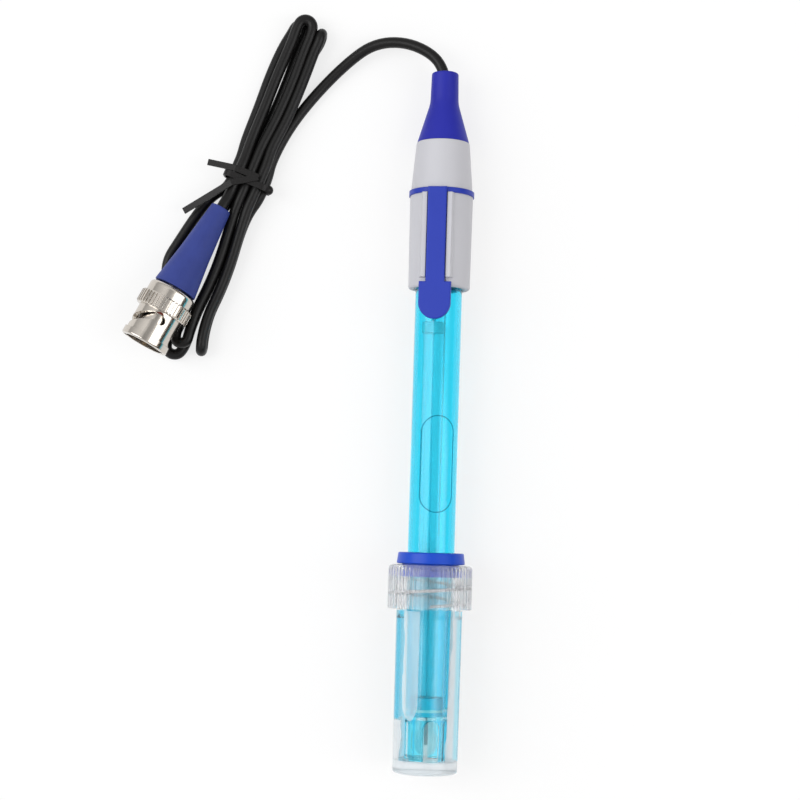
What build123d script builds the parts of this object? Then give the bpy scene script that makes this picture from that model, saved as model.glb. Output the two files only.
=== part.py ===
from build123d import *
import math
import os

# Laboratory pH electrode with its cable, bayonet plug and storage bottle, lying at rest on a surface.
# Along the probe, a station is the distance from the underside of the storage bottle toward the cable.

os.makedirs("parts", exist_ok=True)

# Fits shared by all pieces
running_gap = 0.06
loose_gap = 0.3
stop_gap = 0.2
glue_gap = 0.05
overrun = 2.0
corner_share = 0.97

# Body tube and its guard
tube_radius = 6.0
tube_wall = 1.1
seal_land_radius = 5.8
seal_land_top_station = 55.8
sleeve_land_radius = 5.8
tip_station = 3.2
tube_top_station = 145.0
guard_top_station = 40.0
guard_step_length = 1.2
guard_radius = 5.55
guard_tip_radius = 5.3
guard_wall = 1.1
tip_rounding_share = 0.45
slot_width = 4.0
slot_apex_station = 13.4
slot_azimuth = 16.0
groove_stations = (13.95, 15.85)
groove_width = 0.7
groove_depth = 0.2
oval_length = 24.8
oval_width = 8.4
oval_station = 78.2
oval_line_width = 0.3
oval_line_depth = 0.25
oval_azimuth = 8.0

# Glass stem and what it holds
stem_lean = 0.65
stem_radius = 2.65
stem_wall = 0.75
bulb_radius = 2.95
bulb_bottom_station = 4.1
bulb_length = 5.2
bulb_neck_length = 1.6
bulb_wall = 0.4
stem_top_station = 112.0
stopper_height = 2.7
stopper_radius = 2.8
wire_radius = 0.2
wire_tip_radius = 0.475
wire_tip_length = 5.5
wire_tip_clearance = 2.9
lead_radius = 0.55
base_seal_station = 14.4
base_seal_height = 4.6
junction_radius = 0.5
junction_azimuth = 75.0
reference_wire_radius = 0.2
reference_wire_foot = 60.0
reference_wire_azimuth = 150.0
potting_height = 7.0

# Head sleeve, clip and collar
sleeve_bottom_station = 123.2
sleeve_bottom_radius = 7.9
sleeve_top_radius = 8.1
sleeve_rounding = 0.6
sleeve_mouth_chamfer = 0.6
spigot_radius = 6.9
spigot_height = 4.8
band_station = 147.1
band_height = 1.3
band_radius = 8.4
clip_azimuth = -8.0
clip_width = 4.8
clip_face_distance = 9.0
clip_thickness = 1.4
clip_channel_gap = 0.35
clip_side_gap = 0.2
clip_rounding = 0.3
tab_width = 8.2
tab_shoulder_station = 124.2
tab_end_station = 114.7
rail_width = 1.2
rail_flank_width = 0.7
rail_distance = 8.3
rail_end_station = 125.4
collar_bottom_radius = 7.95
collar_top_radius = 6.85
collar_height = 12.7
collar_rounding = 0.25
boot_stub_radius = 4.5
boot_stub_length = 5.0

# Cable boot on the head
boot_height = 18.4
boot_foot_radius = 6.75
boot_waist_radius = 3.65
boot_waist_height = 10.4
boot_waist_rounding = 9.0
boot_top_radius = 3.45
boot_top_rounding = 0.5
cable_seat_depth = 3.0
cable_mouth_radius = 2.4

# Storage bottle, its ribbed cap and the seal between them
bottle_bottom_radius = 8.25
bottle_top_radius = 8.4
bottle_shoulder_station = 41.0
bottle_wall = 1.0
bottle_floor = 2.8
bottle_foot_rounding = 0.7
neck_radius = 7.7
neck_bore_radius = 6.8
neck_rim_station = 49.2
cap_bottom_station = 41.5
cap_height = 11.1
cap_radius = 10.7
cap_skirt_bore_radius = 9.0
cap_plate_thickness = 1.2
cap_hole_radius = 7.6
cap_rounding = 1.2
rib_count = 56
rib_depth = 0.42
flute_width_share = 0.5
seal_flange_foot_radius = 8.75
seal_flange_top_radius = 8.35
seal_flange_height = 2.9
seal_rounding = 0.35
seal_lip_radius = 8.2
seal_lip_height = 1.6

# Cable, its hank and its tie
cord_diameter = 2.8
bend_share = 0.45
tie_thickness = 0.5
tie_width = 1.6
tie_clearance = 0.15
waist_x = -50.7
waist_y = 60.7
waist_heading = 249.0
waist_width = 11.4
waist_height = 6.3
waist_length = 6.0
knot_radius = 1.3
tail_height = 7.7
tail_drop = 3.2

# Plug: distances are measured from the narrow end of its boot toward its mouth
plug_x = -57.0
plug_y = 53.3
plug_height = 6.4
plug_heading = 243.1
plug_rise = 6.0
plug_boot_radius = 2.65
plug_boot_kink_radius = 4.25
plug_boot_kink_length = 14.3
plug_boot_front_radius = 5.75
plug_boot_length = 24.4
plug_boot_rounding = 0.3
plug_seat_depth = 2.0
plug_gate_length = 0.8
plug_lead_height = 5.5
plug_lead_offset = 2.8
plug_lead_run = 2.4
ferrule_inset = 0.4
ferrule_length = 11.0
ferrule_radius = 3.3
plug_stem_radius = 2.5
nut_gap = 0.4
nut_shoulder_radius = 6.3
nut_shoulder_rounding = 1.0
nut_shoulder_length = 3.2
knurl_width = 3.8
knurl_radius = 7.15
knurl_chamfer = 0.4
knurl_count = 44
knurl_depth = 0.3
knurl_groove_width = 0.4
nut_neck_radius = 5.9
nut_rim_radius = 6.35
nut_rim_width = 1.9
nut_rim_rounding = 0.4
nut_length = 15.8
nut_bore_radius = 4.9
nut_pocket_depth = 2.3
nut_web_thickness = 1.4
body_neck_radius = 3.6
ring_radius = 4.4
ring_groove_depth = 0.45
ring_thickness = 0.5
flange_offset = 5.6
flange_thickness = 1.0
washer_radius = 4.6
spring_thickness = 0.4
thrust_thickness = 0.3
gasket_radius = 4.6
gasket_thickness = 1.0
contact_radius = 4.05
contact_foot_radius = 4.25
contact_bore_radius = 3.5
contact_reach = 14.6
contact_slit_count = 4
contact_slit_width = 0.4
contact_slit_length = 4.6
insulator_thickness = 2.8
pin_radius = 0.675
pin_foot_radius = 0.85
pin_reach = 14.0
cam_width = 2.1
cam_rear_azimuth = -10.0
cam_turn = 105.0
cam_step_count = 6
cam_offset = 12.5
cam_travel = 4.2
cam_detent_azimuth = -20.0
cam_detent_offset = 9.2
cam_detent_radius = 1.15
cam_entry_depth = 0.75


def turned(base, azimuth):
    """The same plane, turned about its own normal."""
    return Plane(base.location * Location((0, 0, 0), (0, 0, azimuth)))


def leaned(base, angle):
    """The same plane, leaned about its own x direction."""
    return Plane(base.location * Location((0, 0, 0), (angle, 0, 0)))


def face_plane(base, azimuth):
    """Plane through the axis, facing outward at this azimuth: its x runs across, its y along the axis."""
    facing = turned(base, azimuth)
    return Plane(origin=base.origin, x_dir=facing.y_dir, z_dir=facing.x_dir)


# Places along the plug, counted from the rear of its boot
ferrule_start = plug_boot_length - ferrule_inset - ferrule_length
nut_start = plug_boot_length + nut_gap
knurl_start = nut_start + nut_shoulder_length
nut_mouth = nut_start + nut_length
flange_start = nut_start + flange_offset
contact_end = nut_start + contact_reach
pin_end = nut_start + pin_reach
cam_start = nut_start + cam_offset
cam_detent = nut_start + cam_detent_offset

# Resting pose of the probe: it lies on the cap's upper rim and on the clip's band
cap_contact_station = cap_bottom_station + cap_height - cap_rounding
band_top_station = band_station + band_height
head_top_station = band_top_station + collar_height + boot_height
probe_slope = math.atan((cap_radius - band_radius) / (band_top_station - cap_contact_station))
axis_height = cap_contact_station * math.sin(probe_slope) + cap_radius * math.cos(probe_slope)
end_radius_difference = boot_top_radius - bottle_bottom_radius
probe_span = head_top_station * math.cos(probe_slope) + end_radius_difference * math.sin(probe_slope)

probe = Plane(
    origin=(0, -probe_span / 2, axis_height),
    x_dir=(0, math.sin(probe_slope), math.cos(probe_slope)),
    z_dir=(0, math.cos(probe_slope), -math.sin(probe_slope)),
)
probe_axis = Axis(probe.origin, probe.z_dir)
probe_profile = Plane(origin=probe.origin, x_dir=probe.x_dir, z_dir=-probe.y_dir)

# The glass stem leans a little inside the tube, pivoting at the base seal
stem = leaned(probe.offset(base_seal_station), stem_lean)
stem_axis = Axis(stem.origin, stem.z_dir)
stem_profile = Plane(origin=stem.origin, x_dir=stem.x_dir, z_dir=-stem.y_dir)

plug_direction = Vector(
    math.cos(math.radians(plug_heading)) * math.cos(math.radians(plug_rise)),
    math.sin(math.radians(plug_heading)) * math.cos(math.radians(plug_rise)),
    math.sin(math.radians(plug_rise)),
)
plug_level = Vector(-math.sin(math.radians(plug_heading)), math.cos(math.radians(plug_heading)), 0)
plug = Plane(
    origin=(plug_x, plug_y, plug_height),
    x_dir=plug_direction.cross(plug_level),
    z_dir=plug_direction,
)
plug_axis = Axis(plug.origin, plug.z_dir)
plug_profile = Plane(origin=plug.origin, x_dir=plug.x_dir, z_dir=-plug.y_dir)

waist_direction = Vector(math.cos(math.radians(waist_heading)), math.sin(math.radians(waist_heading)), 0)
waist_across = Vector(-math.sin(math.radians(waist_heading)), math.cos(math.radians(waist_heading)), 0)
hank_lift = tie_thickness + tie_clearance


def draw_outline(corners):
    """Closed outline through (distance from the axis, station, rounding) corners."""
    points = [(distance, station) for distance, station, _ in corners]
    FilletPolyline(*points, radius=[rounding for _, _, rounding in corners], close=True)


def bend_radii(points):
    """Radius of each corner of a cord's route, as large as its shorter run allows."""
    radii = []
    for before, corner, after in zip(points, points[1:], points[2:]):
        arriving = Vector(*corner) - Vector(*before)
        leaving = Vector(*after) - Vector(*corner)
        shorter = min(arriving.length, leaving.length)
        radii.append(bend_share * shorter / math.tan(math.radians(arriving.get_angle(leaving)) / 2))
    print("bend radii", [round(radius, 1) for radius in radii])
    return radii


def save(piece, name):
    """Label a finished piece and write it."""
    piece.part.label = name
    export_step(piece.part, f"parts/{name}.step")


# Body tube: long moulded tube with an engraved oval, slotted at its slimmer end into prongs round the bulb
tube_bore = tube_radius - tube_wall
guard_bore = guard_radius - guard_wall
guard_tip_bore = guard_tip_radius - guard_wall

with BuildPart() as oval_cutter:
    with BuildSketch(face_plane(probe, oval_azimuth)):
        with Locations((0, oval_station)):
            SlotOverall(oval_length, oval_width, rotation=90)
            SlotOverall(
                oval_length - 2 * oval_line_width,
                oval_width - 2 * oval_line_width,
                rotation=90,
                mode=Mode.SUBTRACT,
            )
    extrude(amount=tube_radius + overrun)
    with BuildSketch(probe.offset(oval_station - oval_length)):
        Circle(tube_radius - oval_line_depth)
    extrude(amount=2 * oval_length, mode=Mode.SUBTRACT)

with BuildPart() as body_tube:
    with BuildSketch(probe_profile):
        with BuildLine():
            draw_outline([
                (guard_tip_bore, tip_station, 0),
                (guard_tip_radius, tip_station, guard_wall * tip_rounding_share),
                (guard_radius, guard_top_station, 0),
                (seal_land_radius, guard_top_station + guard_step_length, 0),
                (seal_land_radius, seal_land_top_station, 0),
                (tube_radius, seal_land_top_station, 0),
                (tube_radius, sleeve_bottom_station, 0),
                (sleeve_land_radius, sleeve_bottom_station, 0),
                (sleeve_land_radius, tube_top_station, 0),
                (tube_bore, tube_top_station, 0),
                (tube_bore, guard_top_station + guard_step_length, 0),
                (guard_bore, guard_top_station, 0),
            ])
        make_face()
    revolve(axis=probe_axis)
    for turn in (0, 90):
        with BuildSketch(face_plane(probe, slot_azimuth + turn)):
            with Locations((0, slot_apex_station - slot_width / 2)):
                Circle(slot_width / 2)
            with Locations((0, (slot_apex_station - slot_width / 2) / 2)):
                Rectangle(slot_width, slot_apex_station - slot_width / 2)
        extrude(amount=guard_radius + overrun, both=True, mode=Mode.SUBTRACT)
    for station in groove_stations:
        with BuildSketch(probe.offset(station - groove_width / 2)):
            Circle(guard_radius + overrun)
            Circle(guard_tip_radius - groove_depth, mode=Mode.SUBTRACT)
        extrude(amount=groove_width, mode=Mode.SUBTRACT)
    add(oval_cutter.part, mode=Mode.SUBTRACT)
save(body_tube, "body_tube")

# Glass stem with the pH bulb blown on its lower end
stem_bore = stem_radius - stem_wall
bulb_low = bulb_bottom_station - base_seal_station
bulb_high = bulb_low + bulb_length
bulb_bore = bulb_radius - bulb_wall
stem_top = stem_top_station - base_seal_station

with BuildPart() as glass_stem:
    with BuildSketch(stem_profile):
        with BuildLine():
            draw_outline([
                (0, bulb_low, 0),
                (bulb_radius, bulb_low, bulb_radius * corner_share),
                (bulb_radius, bulb_high, bulb_wall),
                (stem_radius, bulb_high + bulb_neck_length, bulb_wall),
                (stem_radius, stem_top, 0),
                (stem_bore, stem_top, 0),
                (stem_bore, bulb_high + bulb_neck_length, bulb_wall),
                (bulb_bore, bulb_high, bulb_wall),
                (bulb_bore, bulb_low + bulb_wall, bulb_bore * corner_share),
                (0, bulb_low + bulb_wall, 0),
            ])
        make_face()
    revolve(axis=stem_axis)
save(glass_stem, "glass_stem")

# Stopper on the stem's top, which carries the sensing wire and the lead above it
with BuildPart() as stem_stopper:
    with BuildSketch(stem.offset(stem_top)):
        Circle(stopper_radius)
    extrude(amount=stopper_height)
save(stem_stopper, "stem_stopper")

wire_tip = bulb_low + wire_tip_clearance
with BuildPart() as sensing_wire:
    with BuildSketch(stem.offset(wire_tip)):
        Circle(wire_tip_radius)
    extrude(amount=wire_tip_length)
    with BuildSketch(stem.offset(wire_tip + wire_tip_length)):
        Circle(wire_radius)
    extrude(amount=stem_top - wire_tip - wire_tip_length)
save(sensing_wire, "sensing_wire")

potting_station = tube_top_station - potting_height
with BuildPart() as inner_lead:
    with BuildSketch(stem.offset(stem_top + stopper_height)):
        Circle(lead_radius)
    extrude(amount=potting_station - stem_top_station - stopper_height - glue_gap)
save(inner_lead, "inner_lead")

# Potting that closes the tube's upper end
with BuildPart() as tube_potting:
    with BuildSketch(probe.offset(potting_station)):
        Circle(tube_bore)
    extrude(amount=potting_height)
save(tube_potting, "tube_potting")

# Reference wire beside the stem, hanging from the potting
reference_distance = (tube_bore + stem_radius) / 2
with BuildPart() as reference_wire:
    with BuildSketch(turned(probe, reference_wire_azimuth).offset(reference_wire_foot)):
        with Locations((reference_distance, 0)):
            Circle(reference_wire_radius)
    extrude(amount=potting_station - reference_wire_foot)
save(reference_wire, "reference_wire")

# Base seal round the stem, with the porous junction through it
junction_distance = (guard_tip_bore + stem_radius) / 2
with BuildPart() as base_seal:
    with BuildSketch(probe.offset(base_seal_station)):
        Circle(guard_tip_bore)
    extrude(amount=base_seal_height)
    with BuildSketch(stem.offset(-overrun)):
        Circle(stem_radius)
    extrude(amount=base_seal_height + 2 * overrun, mode=Mode.SUBTRACT)
    with BuildSketch(turned(probe, junction_azimuth).offset(base_seal_station)):
        with Locations((junction_distance, 0)):
            Circle(junction_radius)
    extrude(amount=base_seal_height, mode=Mode.SUBTRACT)
save(base_seal, "base_seal")

with BuildPart() as junction_frit:
    with BuildSketch(turned(probe, junction_azimuth).offset(base_seal_station)):
        with Locations((junction_distance, 0)):
            Circle(junction_radius)
    extrude(amount=base_seal_height)
save(junction_frit, "junction_frit")

# Head sleeve: grey grip with two rails that flank the clip's channel
channel_half_width = clip_width / 2 + clip_side_gap
channel_distance = clip_face_distance - clip_thickness - clip_channel_gap
sleeve_bore = sleeve_land_radius + glue_gap
rail_outer = channel_half_width + rail_width
with BuildPart() as head_sleeve:
    with BuildSketch(probe_profile):
        with BuildLine():
            draw_outline([
                (tube_radius + sleeve_mouth_chamfer, sleeve_bottom_station, 0),
                (sleeve_bottom_radius, sleeve_bottom_station, sleeve_rounding),
                (sleeve_top_radius, band_station, 0),
                (spigot_radius, band_station, 0),
                (spigot_radius, band_station + spigot_height, 0),
                (sleeve_bore, band_station + spigot_height, 0),
                (sleeve_bore, sleeve_bottom_station + sleeve_mouth_chamfer, 0),
            ])
        make_face()
    revolve(axis=probe_axis)
    for side in (-1, 1):
        with BuildSketch(turned(probe, clip_azimuth).offset(rail_end_station)):
            with BuildLine():
                Polyline(
                    (sleeve_bore + glue_gap, side * channel_half_width),
                    (rail_distance, side * channel_half_width),
                    (rail_distance, side * rail_outer),
                    (sleeve_bore + glue_gap, side * (rail_outer + rail_flank_width)),
                    close=True,
                )
            make_face()
        extrude(amount=band_station - rail_end_station)
    with BuildSketch(face_plane(probe, clip_azimuth).offset(channel_distance)):
        with Locations((0, (sleeve_bottom_station + band_station) / 2)):
            Rectangle(2 * channel_half_width, band_station - sleeve_bottom_station)
    extrude(amount=band_radius, mode=Mode.SUBTRACT)
save(head_sleeve, "head_sleeve")

# Clip: band, spring strip and finger tab in one moulding
clip_plane = face_plane(probe, clip_azimuth).offset(clip_face_distance - clip_thickness)
tab_radius = tab_width / 2
with BuildPart() as pocket_clip:
    with BuildSketch(clip_plane):
        with Locations((0, (tab_shoulder_station + band_top_station) / 2)):
            Rectangle(clip_width, band_top_station - tab_shoulder_station)
        with Locations((0, (tab_shoulder_station + tab_end_station + tab_radius) / 2)):
            Rectangle(tab_width, tab_shoulder_station - tab_end_station - tab_radius)
        with Locations((0, tab_end_station + tab_radius)):
            Circle(tab_radius)
    extrude(amount=clip_thickness)
    clip_face = faces().sort_by(Axis(clip_plane.origin, clip_plane.z_dir))[-1]
    fillet(clip_face.edges(), clip_rounding)
    with BuildSketch(probe.offset(band_station)):
        Circle(band_radius)
        Circle(spigot_radius + glue_gap, mode=Mode.SUBTRACT)
    extrude(amount=band_height)
save(pocket_clip, "pocket_clip")

# Upper collar between the clip's band and the cable boot
collar_top_station = band_top_station + collar_height
collar_bore_top = band_station + spigot_height + loose_gap
with BuildPart() as head_collar:
    with BuildSketch(probe_profile):
        with BuildLine():
            draw_outline([
                (spigot_radius + glue_gap, band_top_station, 0),
                (collar_bottom_radius, band_top_station, collar_rounding),
                (collar_top_radius, collar_top_station, collar_rounding),
                (boot_stub_radius + glue_gap, collar_top_station, 0),
                (boot_stub_radius + glue_gap, collar_bore_top, 0),
                (spigot_radius + glue_gap, collar_bore_top, 0),
            ])
        make_face()
    revolve(axis=probe_axis)
save(head_collar, "head_collar")

# Cable boot: flexible flared sleeve whose flared mouth lets the cable bend
cord_radius = cord_diameter / 2
with BuildPart() as cable_boot:
    with BuildSketch(probe_profile):
        with BuildLine():
            draw_outline([
                (0, collar_top_station - boot_stub_length, 0),
                (boot_stub_radius, collar_top_station - boot_stub_length, 0),
                (boot_stub_radius, collar_top_station, 0),
                (boot_foot_radius, collar_top_station, 0),
                (boot_waist_radius, collar_top_station + boot_waist_height, boot_waist_rounding),
                (boot_top_radius, head_top_station, boot_top_rounding),
                (cable_mouth_radius, head_top_station, 0),
                (cord_radius + glue_gap, head_top_station - cable_seat_depth, 0),
                (0, head_top_station - cable_seat_depth, 0),
            ])
        make_face()
    revolve(axis=probe_axis)
save(cable_boot, "cable_boot")

# Storage bottle with its plain neck
cap_top_station = cap_bottom_station + cap_height
with BuildPart() as storage_bottle:
    with BuildSketch(probe_profile):
        with BuildLine():
            draw_outline([
                (0, 0, 0),
                (bottle_bottom_radius, 0, bottle_foot_rounding),
                (bottle_top_radius, bottle_shoulder_station, 0),
                (neck_radius, bottle_shoulder_station, 0),
                (neck_radius, neck_rim_station, 0),
                (neck_bore_radius, neck_rim_station, 0),
                (neck_bore_radius, bottle_shoulder_station - bottle_wall, 0),
                (bottle_top_radius - bottle_wall, bottle_shoulder_station - 2 * bottle_wall, 0),
                (bottle_bottom_radius - bottle_wall, bottle_floor, bottle_foot_rounding),
                (0, bottle_floor, 0),
            ])
        make_face()
    revolve(axis=probe_axis)
save(storage_bottle, "storage_bottle")

# Screw cap with grip ribs all round
flute_width = 2 * math.pi * cap_radius / rib_count * flute_width_share
with BuildPart() as bottle_cap:
    with BuildSketch(probe_profile):
        with BuildLine():
            draw_outline([
                (cap_skirt_bore_radius, cap_bottom_station, 0),
                (cap_radius, cap_bottom_station, 0),
                (cap_radius, cap_top_station, cap_rounding),
                (cap_hole_radius, cap_top_station, 0),
                (cap_hole_radius, cap_top_station - cap_plate_thickness, 0),
                (cap_skirt_bore_radius, cap_top_station - cap_plate_thickness, 0),
            ])
        make_face()
    revolve(axis=probe_axis)
    with BuildSketch(turned(probe, 180 / rib_count).offset(cap_bottom_station)):
        with PolarLocations(cap_radius, rib_count):
            Rectangle(2 * rib_depth, flute_width)
    extrude(amount=cap_height, mode=Mode.SUBTRACT)
save(bottle_cap, "bottle_cap")

# Seal plug: runs along the tube's full width, and its lip is held between the neck's rim and the cap
seal_bore = tube_radius + running_gap
seal_foot_station = cap_top_station + stop_gap
lip_top_station = cap_top_station - cap_plate_thickness - stop_gap
with BuildPart() as seal_plug:
    with BuildSketch(probe_profile):
        with BuildLine():
            draw_outline([
                (seal_bore, lip_top_station - seal_lip_height, 0),
                (seal_lip_radius, lip_top_station - seal_lip_height, 0),
                (seal_lip_radius, lip_top_station, 0),
                (cap_hole_radius - loose_gap, lip_top_station, 0),
                (cap_hole_radius - loose_gap, seal_foot_station, 0),
                (seal_flange_foot_radius, seal_foot_station, seal_rounding),
                (seal_flange_top_radius, seal_foot_station + seal_flange_height, seal_rounding),
                (seal_bore, seal_foot_station + seal_flange_height, 0),
            ])
        make_face()
    revolve(axis=probe_axis)
save(seal_plug, "seal_plug")

# Cable from the head to the tied hank
cable_seat = probe.origin + probe.z_dir * (head_top_station - cable_seat_depth)
cable_mouth = probe.origin + probe.z_dir * head_top_station
lead_route = [
    tuple(cable_seat),
    tuple(cable_mouth),
    (-3.1, 94.8, 7.2),
    (-10.6, 98.3, 5.7),
    (-18.8, 98.0, 3.8),
    (-25.6, 93.2, 2.3),
    (-33.6, 84.9, 1.5),
    (-40.2, 75.9, 2.05),
    (-44.7, 66.8, 2.05),
]
with BuildPart() as cable_lead:
    with BuildLine() as lead_path:
        FilletPolyline(*lead_route, radius=bend_radii(lead_route))
    with BuildSketch(Plane(origin=lead_path.line @ 0, z_dir=lead_path.line % 0)):
        Circle(cord_radius)
    sweep()
lead_length = sum(edge.length for edge in lead_path.edges())
print("lead volume share", cable_lead.part.volume / (math.pi * cord_radius**2 * lead_length))
save(cable_lead, "cable_lead")

# Hank: flat bands of strands lying on the surface, gathered at the waist under the tie
inner_run = [
    (-48.0, 57.9),
    (-51.3, 53.7),
    (-52.6, 47.4),
    (-54.6, 39.1),
    (-57.1, 32.0),
    (-59.5, 26.7),
    (-61.3, 17.0),
]
second_run = [
    (-50.7, 58.5),
    (-52.6, 54.2),
    (-54.5, 48.2),
    (-57.2, 40.0),
    (-59.9, 32.9),
    (-62.5, 27.4),
    (-65.7, 16.4),
]
outer_run = [
    (-55.0, 60.2),
    (-60.1, 57.0),
    (-64.4, 51.4),
    (-68.1, 45.3),
    (-71.3, 40.0),
    (-71.7, 36.8),
    (-69.8, 34.4),
    (-66.6, 34.3),
]
hank_bands = [
    ([(-38.5, 101.9), (-42.0, 96.1), (-44.9, 88.7), (-47.5, 80.8), (-50.3, 71.9), (-52.9, 63.7)], 1.8, 2),
    ([(-36.2, 103.4), (-37.6, 96.2), (-40.4, 87.0), (-43.7, 77.8), (-47.9, 69.9), (-50.5, 62.5)], 1.8, 2),
    ([(-33.0, 99.9), (-34.2, 96.8), (-37.5, 87.4), (-42.6, 77.9), (-46.9, 71.0), (-49.0, 62.6)], 1.1, 2),
    ([(-36.9, 100.0), (-36.2, 103.6)], 2.2, 3),
    (inner_run, 1.1, 2),
    (second_run, 1.0, 2),
    ([(-60.6, 22.5), (-61.3, 17.0)], 1.1, 3),
    ([(-53.1, 59.2), (-56.6, 53.8), (-59.8, 47.6), (-62.5, 42.1), (-64.9, 37.1), (-68.2, 34.1)], 1.0, 1),
    (outer_run, 1.0, 1),
]
waist_plane = Plane(origin=(waist_x, waist_y, 0), x_dir=waist_across, z_dir=waist_direction)
entry_end = Vector(*lead_route[-1][:2])
entry_direction = (entry_end - Vector(*lead_route[-2][:2])).normalized()
entry_inner = entry_end + entry_direction * waist_length
with BuildPart() as cable_hank:
    for route, strands, layers in hank_bands:
        with BuildSketch(Plane.XY):
            with BuildLine():
                Polyline(*route)
            trace(line_width=strands * cord_diameter)
        extrude(amount=layers * cord_diameter)
    with BuildSketch(Plane.XY.offset(hank_lift)):
        with BuildLine():
            Polyline(tuple(entry_end), tuple(entry_inner))
        trace(line_width=cord_diameter)
    extrude(amount=cord_diameter)
    with BuildSketch(waist_plane):
        with Locations((0, hank_lift / 2)):
            Rectangle(2 * waist_width, hank_lift)
    extrude(amount=waist_length / 2, both=True, mode=Mode.SUBTRACT)
    with BuildSketch(waist_plane):
        with Locations((0, hank_lift + waist_height / 2)):
            RectangleRounded(waist_width, waist_height, cord_radius)
    extrude(amount=waist_length / 2, both=True)
save(cable_hank, "cable_hank")

# Twist tie: a flat strip round the waist, knotted at its side, with two loose tails over the top
tie_inner_width = waist_width + 2 * tie_clearance
tie_inner_height = waist_height + 2 * tie_clearance
tie_inner_rounding = cord_radius + tie_clearance
tie_centre_height = hank_lift + waist_height / 2
knot_offset = waist_width / 2 + tie_clearance + tie_thickness / 2
knot_centre = Vector(waist_x, waist_y, tie_centre_height + waist_height / 4) + waist_across * knot_offset
tail_routes = [
    [(-47.5, 61.4, tail_height), (-53.5, 63.7, tail_height), (-60.8, 65.3, tail_height - tail_drop / 2)],
    [(-47.5, 61.4, tail_height), (-54.5, 59.9, tail_height), (-66.9, 52.6, tail_height - tail_drop)],
]
with BuildPart() as twist_tie:
    with BuildSketch(waist_plane):
        with Locations((0, tie_centre_height)):
            RectangleRounded(
                tie_inner_width + 2 * tie_thickness,
                tie_inner_height + 2 * tie_thickness,
                tie_inner_rounding + tie_thickness,
            )
            RectangleRounded(tie_inner_width, tie_inner_height, tie_inner_rounding, mode=Mode.SUBTRACT)
    extrude(amount=tie_width / 2, both=True)
    for route in tail_routes:
        with BuildLine() as tail_path:
            Polyline(*route)
        with BuildSketch(Plane(origin=tail_path.line @ 0, x_dir=(0, 0, 1), z_dir=tail_path.line % 0)):
            Rectangle(tie_thickness, tie_width)
        sweep(path=tail_path.line, transition=Transition.RIGHT)
    with Locations(knot_centre):
        Sphere(knot_radius)
    with BuildSketch(waist_plane):
        with Locations((0, tie_centre_height)):
            RectangleRounded(tie_inner_width, tie_inner_height, tie_inner_rounding)
    extrude(amount=waist_length / 2, both=True, mode=Mode.SUBTRACT)
save(twist_tie, "twist_tie")

# Short lead from the hank's waist into the plug's boot
plug_seat = plug.origin + plug.z_dir * plug_seat_depth
plug_gate = plug.origin - plug.z_dir * plug_gate_length
waist_front = Vector(waist_x, waist_y, plug_lead_height) + waist_direction * (waist_length / 2)
plug_lead_start = waist_front - waist_across * plug_lead_offset
plug_lead_route = [
    tuple(plug_lead_start),
    tuple(plug_lead_start + waist_direction * plug_lead_run),
    tuple(plug_gate),
    tuple(plug_seat),
]
with BuildPart() as plug_lead:
    with BuildLine() as plug_lead_path:
        FilletPolyline(*plug_lead_route, radius=bend_radii(plug_lead_route))
    with BuildSketch(Plane(origin=plug_lead_path.line @ 0, z_dir=plug_lead_path.line % 0)):
        Circle(cord_radius)
    sweep()
save(plug_lead, "plug_lead")

# Plug boot over the crimp
with BuildPart() as plug_boot:
    with BuildSketch(plug_profile):
        with BuildLine():
            draw_outline([
                (cord_radius + glue_gap, 0, 0),
                (plug_boot_radius, 0, plug_boot_rounding),
                (plug_boot_kink_radius, plug_boot_kink_length, 0),
                (plug_boot_front_radius, plug_boot_length, plug_boot_rounding),
                (ferrule_radius + glue_gap, plug_boot_length, 0),
                (ferrule_radius + glue_gap, ferrule_start, 0),
                (0, ferrule_start, 0),
                (0, plug_seat_depth, 0),
                (cord_radius + glue_gap, plug_seat_depth, 0),
            ])
        make_face()
    revolve(axis=plug_axis)
save(plug_boot, "plug_boot")

with BuildPart() as crimp_ferrule:
    with BuildSketch(plug.offset(ferrule_start)):
        Circle(ferrule_radius)
        Circle(plug_stem_radius + glue_gap, mode=Mode.SUBTRACT)
    extrude(amount=ferrule_length)
save(crimp_ferrule, "crimp_ferrule")

# Plug body: crimp stem, neck with the ring's groove, and the flange that carries the contact sleeve
nut_web_start = nut_start + nut_pocket_depth
ring_start = nut_web_start - stop_gap - ring_thickness
groove_radius = body_neck_radius - ring_groove_depth
flange_end = flange_start + flange_thickness
with BuildPart() as plug_body:
    with BuildSketch(plug_profile):
        with BuildLine():
            draw_outline([
                (0, ferrule_start + plug_stem_radius / 2, 0),
                (plug_stem_radius, ferrule_start + plug_stem_radius / 2, 0),
                (plug_stem_radius, plug_boot_length, 0),
                (body_neck_radius, plug_boot_length, 0),
                (body_neck_radius, ring_start, 0),
                (groove_radius, ring_start, 0),
                (groove_radius, ring_start + ring_thickness, 0),
                (body_neck_radius, ring_start + ring_thickness, 0),
                (body_neck_radius, flange_start, 0),
                (nut_bore_radius - running_gap, flange_start, 0),
                (nut_bore_radius - running_gap, flange_end, 0),
                (0, flange_end, 0),
            ])
        make_face()
    revolve(axis=plug_axis)
save(plug_body, "plug_body")

# Retaining ring behind the nut's web
with BuildPart() as retaining_ring:
    with BuildSketch(plug.offset(ring_start)):
        Circle(ring_radius)
        Circle(groove_radius, mode=Mode.SUBTRACT)
    extrude(amount=ring_thickness)
save(retaining_ring, "retaining_ring")

# Spring washer against the flange, and the thrust washer that travels with the nut
thrust_start = nut_web_start + nut_web_thickness + stop_gap
with BuildPart() as spring_washer:
    with BuildSketch(plug.offset(flange_start - spring_thickness)):
        Circle(washer_radius)
        Circle(body_neck_radius + glue_gap, mode=Mode.SUBTRACT)
    extrude(amount=spring_thickness)
save(spring_washer, "spring_washer")

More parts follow.
